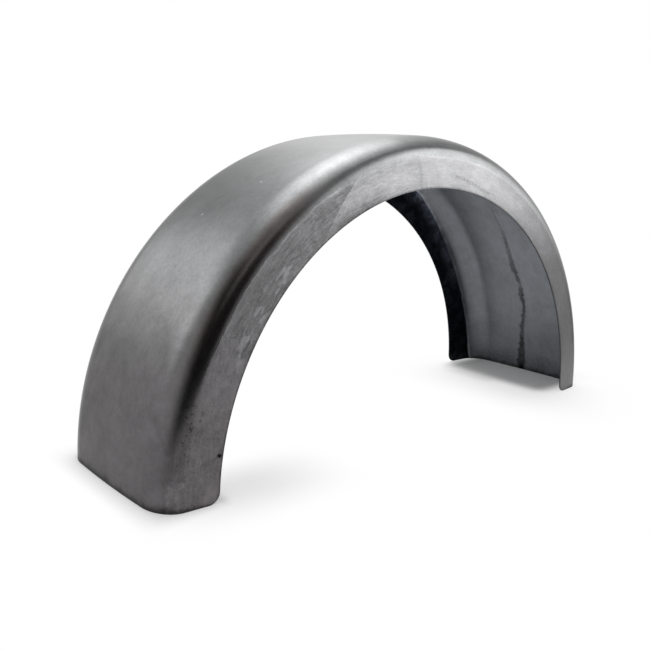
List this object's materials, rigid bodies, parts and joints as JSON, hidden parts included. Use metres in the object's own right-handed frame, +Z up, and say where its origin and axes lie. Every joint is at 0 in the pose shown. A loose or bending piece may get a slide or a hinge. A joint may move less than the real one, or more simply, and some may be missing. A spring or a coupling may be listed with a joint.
{
  "type": "motorcycle rear fender",
  "caption": "Half-round motorcycle rear fender in bare sheet steel, with a flat crown, rounded shoulders and flared skirts, undrilled, to be cut and fixed over a wide rear tyre.",
  "frame": {"origin": "On the floor, midway between the two cut ends and midway across the width", "axes": "+X along the length from one end to the other, +Y across the width, +Z up to the top of the arch"},
  "size_m": [0.6898, 0.2, 0.3399],
  "materials": {
    "bare_steel": "bare satin sheet steel, lightly oiled, smooth crown and sanded skirts"
  },
  "bodies": {
    "root": {"fender_shell": "bare_steel"}
  },
  "joints": []
}
